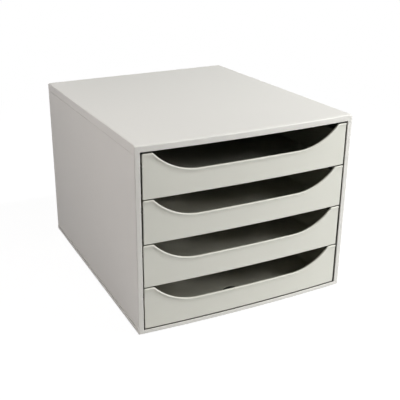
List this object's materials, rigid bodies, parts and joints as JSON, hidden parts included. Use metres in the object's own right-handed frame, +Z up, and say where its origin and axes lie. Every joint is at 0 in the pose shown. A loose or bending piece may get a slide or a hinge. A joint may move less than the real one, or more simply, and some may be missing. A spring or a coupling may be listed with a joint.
{
  "type": "desktop file drawer",
  "caption": "Desktop filing module: a plastic case with a bowed front and stacked A4 drawers that slide out, each with a scooped, lipped front edge to pull.",
  "frame": {"origin": "middle of the footprint, at the level that the rubber feet stand on", "axes": "+Z up, -Y out of the drawer fronts, +X to the right of someone facing the drawers"},
  "size_m": [0.286, 0.34, 0.234],
  "materials": {
    "case_plastic": "satin",
    "drawer_plastic": "satin",
    "rail_plastic": "satin",
    "foot_rubber": "matte"
  },
  "bodies": {
    "case": {"front_bezel": "case_plastic", "case_top": "case_plastic", "case_base": "case_plastic", "case_back": "case_plastic", "left_side_panel": "case_plastic", "right_side_panel": "case_plastic", "foot_front_left": "foot_rubber", "foot_front_right": "foot_rubber", "foot_rear_left": "foot_rubber", "foot_rear_right": "foot_rubber", "left_rail_1": "rail_plastic", "right_rail_1": "rail_plastic", "left_rail_2": "rail_plastic", "right_rail_2": "rail_plastic", "left_rail_3": "rail_plastic", "right_rail_3": "rail_plastic", "left_rail_4": "rail_plastic", "right_rail_4": "rail_plastic"},
    "drawer_1": {"drawer_1": "drawer_plastic"},
    "drawer_2": {"drawer_2": "drawer_plastic"},
    "drawer_3": {"drawer_3": "drawer_plastic"},
    "drawer_4": {"drawer_4": "drawer_plastic"}
  },
  "joints": [
    {"name": "drawer_1_slide", "type": "slide", "parent": "case", "child": "drawer_1", "axis": [0, -1, 0], "range_m": [0, 0.25]},
    {"name": "drawer_2_slide", "type": "slide", "parent": "case", "child": "drawer_2", "axis": [0, -1, 0], "range_m": [0, 0.25]},
    {"name": "drawer_3_slide", "type": "slide", "parent": "case", "child": "drawer_3", "axis": [0, -1, 0], "range_m": [0, 0.25]},
    {"name": "drawer_4_slide", "type": "slide", "parent": "case", "child": "drawer_4", "axis": [0, -1, 0], "range_m": [0, 0.25]}
  ]
}
